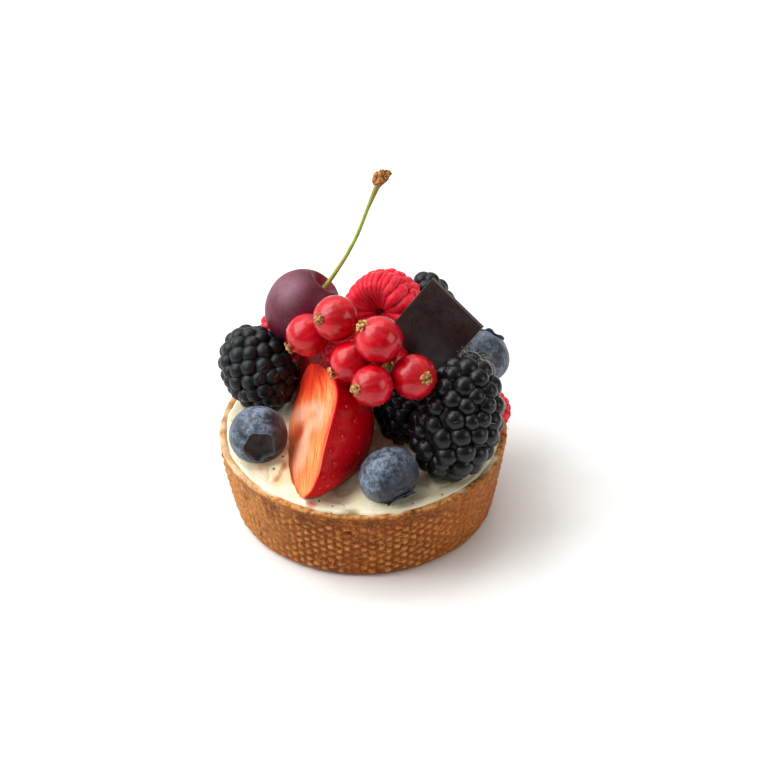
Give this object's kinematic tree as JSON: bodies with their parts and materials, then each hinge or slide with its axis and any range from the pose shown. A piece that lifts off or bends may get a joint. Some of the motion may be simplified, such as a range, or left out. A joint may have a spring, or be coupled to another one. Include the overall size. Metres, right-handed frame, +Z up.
{
  "type": "fruit tart",
  "caption": "Individual fruit tart: a dotted straight-sided pastry cup of cream, heaped with dark berries, raspberries, blueberries, redcurrants, half a strawberry, a cherry and a plaque.",
  "frame": {"origin": "centre of the crust's flat underside, which is the face the tart rests on", "axes": "+Z up out of the tart; -Y towards the front, where the strawberry half and two blueberries lie; +X to the right seen from the front"},
  "size_m": [0.0812, 0.0798, 0.0859],
  "materials": {
    "crust": "baked, golden brown, matt, with small raised dots",
    "cream": "smooth ivory cream, softly glossy",
    "dark_berry": "near-black berry skin, shiny where it bulges",
    "raspberry": "crimson, lightly downy",
    "blueberry": "slate blue with a pale bloom",
    "redcurrant": "translucent red, glossy",
    "cherry": "dark burgundy, glossy",
    "stem": "yellow-green stalk",
    "stem_knob": "dry brown end of the stalk",
    "strawberry": "red skin with a paler orange-red cut face",
    "chocolate": "dark chocolate, bare of lettering"
  },
  "bodies": {
    "root": {"crust": "crust", "cream": "cream", "dark_berry_left": "dark_berry", "dark_berry_right": "dark_berry", "dark_berry_centre": "dark_berry", "dark_berry_back": "dark_berry", "raspberry_top": "raspberry", "raspberry_left": "raspberry", "raspberry_right": "raspberry", "raspberry_back": "raspberry", "raspberry_middle": "raspberry", "blueberry_left": "blueberry", "blueberry_front": "blueberry", "blueberry_right": "blueberry", "blueberry_back": "blueberry", "redcurrant_1": "redcurrant", "redcurrant_2": "redcurrant", "redcurrant_3": "redcurrant", "redcurrant_4": "redcurrant", "redcurrant_5": "redcurrant", "redcurrant_6": "redcurrant", "redcurrant_7": "redcurrant", "cherry": "cherry", "cherry_stem": "stem", "cherry_stem_knob": "stem_knob", "strawberry_half": "strawberry", "chocolate_plaque": "chocolate"}
  },
  "joints": []
}
